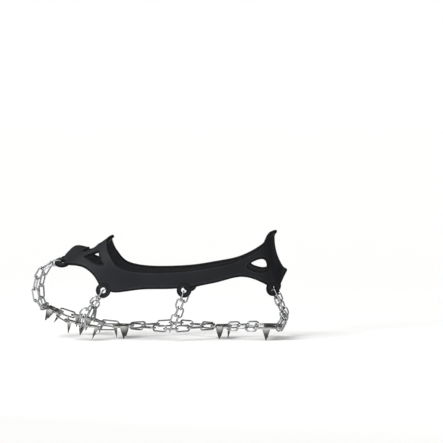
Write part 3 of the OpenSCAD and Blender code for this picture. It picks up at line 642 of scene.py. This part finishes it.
# %% Strap mesh
def put_mesh(name, xyz, faces, rims, finish, body):
    """A smooth-shaded mesh object at the origin that rides on a body, knows its rims and takes one finish."""
    mesh = bpy.data.meshes.new(name)
    mesh.from_pydata(xyz.tolist(), [], faces.tolist())
    mesh.update()
    mesh.shade_smooth()
    mesh.attributes.new("rim_mm", "FLOAT", "POINT").data.foreach_set("value", rims.astype(np.float32))
    mesh.materials.append(finish)
    piece = bpy.data.objects.new(name, mesh)
    bpy.context.scene.collection.objects.link(piece)
    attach(piece, body)
    return piece


strap_piece = put_mesh("harness_strap", np.concatenate(points), np.concatenate([cell[keep], *quads]),
                       np.concatenate(rim_mm), rubber, "harness")
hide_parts("harness")
print("strap faces:", len(strap_piece.data.polygons))

# %% [markdown]
# Every ear is round: a flange, a shallow groove, and a raised collar round the bore. It could be
# cut from a disc, but a round thing is a profile turned about an axis, so one closed profile makes
# all of them.

# %% Ears round the eyelets
EAR_PROFILE_MM = np.array([
    [3.2, 0.0], [3.25, 1.1], [3.6, 1.85], [4.3, 2.1], [5.0, 2.1], [5.4, 1.8], [5.7, 1.3], [6.4, 1.2],
    [7.0, 1.7], [7.8, 1.75], [8.35, 1.2], [8.55, 0.0], [8.35, -1.2], [7.8, -1.7], [7.0, -1.6], [6.0, -1.7],
    [5.3, -2.0], [4.3, -2.0], [3.6, -1.75], [3.25, -1.1]])
EAR_TURNS, EAR_STEPS = 64, 4
EAR_RIM_MM = 1.2     # an ear's edge is rounder than the strap's, so less of it gets the painted rim shade


def turned_ring(profile, middle, axis, turns):
    """Carry (radius, height) round an axis: middle + radius (x cos a + y sin a) + height * axis."""
    axis = axis / np.linalg.norm(axis)
    x = np.cross(axis, [0.0, 0.0, 1.0] if abs(axis[2]) < 0.9 else [1.0, 0.0, 0.0])
    x /= np.linalg.norm(x)
    y = np.cross(axis, x)
    a = np.arange(turns)[:, None] * 2 * np.pi / turns
    spoke = np.cos(a) * x + np.sin(a) * y
    xyz = middle + profile[None, :, :1] * spoke[:, None] + profile[None, :, 1:] * axis
    n = len(profile)
    i, j = np.meshgrid(np.arange(turns), np.arange(n), indexing="ij")
    faces = np.stack([i * n + j, i * n + (j + 1) % n, (i + 1) % turns * n + (j + 1) % n,
                      (i + 1) % turns * n + j], -1)
    return xyz.reshape(-1, 3), faces.reshape(-1, 4)


ear_profile = on_loop(EAR_PROFILE_MM, np.arange(len(EAR_PROFILE_MM) * EAR_STEPS) / EAR_STEPS) * MM
ear_radius = ear_profile[:, 0]
ear_rims = np.minimum(ear_radius.max() - ear_radius, ear_radius - ear_radius.min()) / MM + EAR_RIM_MM
for name, side, middle, axis in eyelets:
    xyz, faces = turned_ring(ear_profile, middle, axis, EAR_TURNS)
    put_mesh(f"ear_{name}_{side}", xyz, faces, np.tile(ear_rims, EAR_TURNS), rubber, "harness")
print("ears:", len(eyelets))

# %% [markdown]
# The picture is a plain product view on white, on a sheet of white paper that reaches far past the
# camera's view, so no horizon shows. Steel under an all-white sky would look flat, so dark cards
# stand at the sides and behind, as in a studio: only reflections see them.

# %% Floor and dark cards
FLOOR_M, FLOOR_Z = 30.0, -0.2 * MM
CARD_BASE_M, STAGE_ROUGH = 0.02, 0.9
# For each card: the two ends of its lower edge (x, y), the height of its top, and its lean to the back
CARDS_M = {"toe": ((-0.8, -0.9), (-0.8, 0.6), 0.8, 0.0),
           "heel": ((0.9, -0.9), (0.9, 0.6), 0.8, 0.0),
           "back": ((-1.1, 0.7), (1.1, 0.7), 1.1, 0.2)}


def flat_card(name, corners, colour):
    """A four-cornered stage piece with one plain finish."""
    mesh = bpy.data.meshes.new(name)
    mesh.from_pydata(corners, [], [(0, 1, 2, 3)])
    finish, _, shader = new_material(name)
    shader.inputs["Base Color"].default_value = linear(colour)
    shader.inputs["Roughness"].default_value = STAGE_ROUGH
    mesh.materials.append(finish)
    card = bpy.data.objects.new(name, mesh)
    bpy.context.scene.collection.objects.link(card)
    return card


flat_card("white_paper_floor", [(-FLOOR_M, -FLOOR_M, FLOOR_Z), (FLOOR_M, -FLOOR_M, FLOOR_Z),
                                (FLOOR_M, FLOOR_M, FLOOR_Z), (-FLOOR_M, FLOOR_M, FLOOR_Z)], "#f6f6f5")
for side, ((x0, y0), (x1, y1), top, lean) in CARDS_M.items():
    card = flat_card(f"dark_card_{side}", [(x0, y0, CARD_BASE_M), (x1, y1, CARD_BASE_M),
                                           (x1, y1 + lean, top), (x0, y0 + lean, top)], "#0a0a0a")
    card.visible_camera = card.visible_diffuse = card.visible_shadow = False
print("dark cards:", list(CARDS_M))

# %% [markdown]
# An even sky fills the shadows. A real studio has white walls for that, but a world colour lights
# from all round at once. The camera and mirror-like steel see it as plain white.

# %% Sky
SKY = 0.62
WHITE = (1, 1, 1, 1)
world = bpy.data.worlds.new("studio")
bpy.context.scene.world = world
world.use_nodes = True
tree = world.node_tree
tree.nodes["Background"].inputs["Color"].default_value = WHITE
tree.nodes["Background"].inputs["Strength"].default_value = SKY
path = add(tree, "ShaderNodeLightPath")
mirror = add(tree, "ShaderNodeMath", {"operation": "MAXIMUM"},
             {0: path.outputs["Is Glossy Ray"], 1: path.outputs["Is Transmission Ray"]})
seen = add(tree, "ShaderNodeMath", {"operation": "MAXIMUM"},
           {0: path.outputs["Is Camera Ray"], 1: mirror.outputs[0]})
white = add(tree, "ShaderNodeBackground", None, {"Color": WHITE, "Strength": 1.0})
pick = add(tree, "ShaderNodeMixShader", None,
           {0: seen.outputs[0], 1: tree.nodes["Background"].outputs[0], 2: white.outputs[0]})
tree.links.new(pick.outputs[0], tree.nodes["World Output"].inputs["Surface"])
print("sky strength:", SKY)

# %% [markdown]
# One broad sun lights the floor to just about white with the sky, with no falloff, and the floor
# still takes a soft shadow. A second sun could brighten the front of the strap, but it would light
# everything, so a weak lamp stands near the toe. Reflections don't see it, or the steel would show
# a bright square.

# %% Lamps
SUN_AT, SUN_STRENGTH, SUN_ANGLE = (-0.9, -0.7, 1.6), 1.75, 35
TOE_LAMP_AT, TOE_LAMP_AIM, TOE_LAMP_WATTS, TOE_LAMP_M = (-0.34, -0.5, 0.32), (-0.09, 0, 0.08), 3.0, 0.25


def lamp(name, kind, place, target, settings):
    """A lamp of the given kind that faces a point."""
    light = bpy.data.lights.new(name, kind)
    for key, value in settings.items():
        setattr(light, key, value)
    holder = bpy.data.objects.new(name, light)
    holder.location = place
    holder.rotation_euler = (Vector(target) - Vector(place)).to_track_quat("-Z", "Y").to_euler()
    bpy.context.scene.collection.objects.link(holder)
    return holder


lamp("broad_sun", "SUN", SUN_AT, (0, 0, 0), {"energy": SUN_STRENGTH, "angle": np.radians(SUN_ANGLE)})
toe_lamp = lamp("toe_lamp", "AREA", TOE_LAMP_AT, TOE_LAMP_AIM, {"energy": TOE_LAMP_WATTS, "size": TOE_LAMP_M})
toe_lamp.visible_glossy = False
bpy.context.scene.view_settings.view_transform = "Standard"

# %% [markdown]
# The camera stands far off, a little above the plates and a little towards the heel. Its aim and
# scale were worked out from where the four near eyelets lie in the picture.

# %% Camera
PIXEL_MM, FRAME_PX = 1.16, 443
SENSOR_MM = 36
AIM = np.array([68.9, 0.0, 135.6]) * MM
AZIMUTH, ELEVATION, DISTANCE = np.radians(3), np.radians(2.5), 3.0
camera = bpy.data.cameras.new("photo_view")
camera.sensor_width = SENSOR_MM
camera.lens = SENSOR_MM * DISTANCE / (FRAME_PX * PIXEL_MM * MM)
eye = bpy.data.objects.new("photo_view", camera)
level = np.array([np.sin(AZIMUTH), -np.cos(AZIMUTH), 0])
back = level * np.cos(ELEVATION) + np.array([0, 0, np.sin(ELEVATION)])
eye.location = AIM + back * DISTANCE
eye.rotation_euler = Vector(-back).to_track_quat("-Z", "Y").to_euler()
bpy.context.scene.collection.objects.link(eye)
bpy.context.scene.camera = eye
print("camera lens:", round(camera.lens, 1))
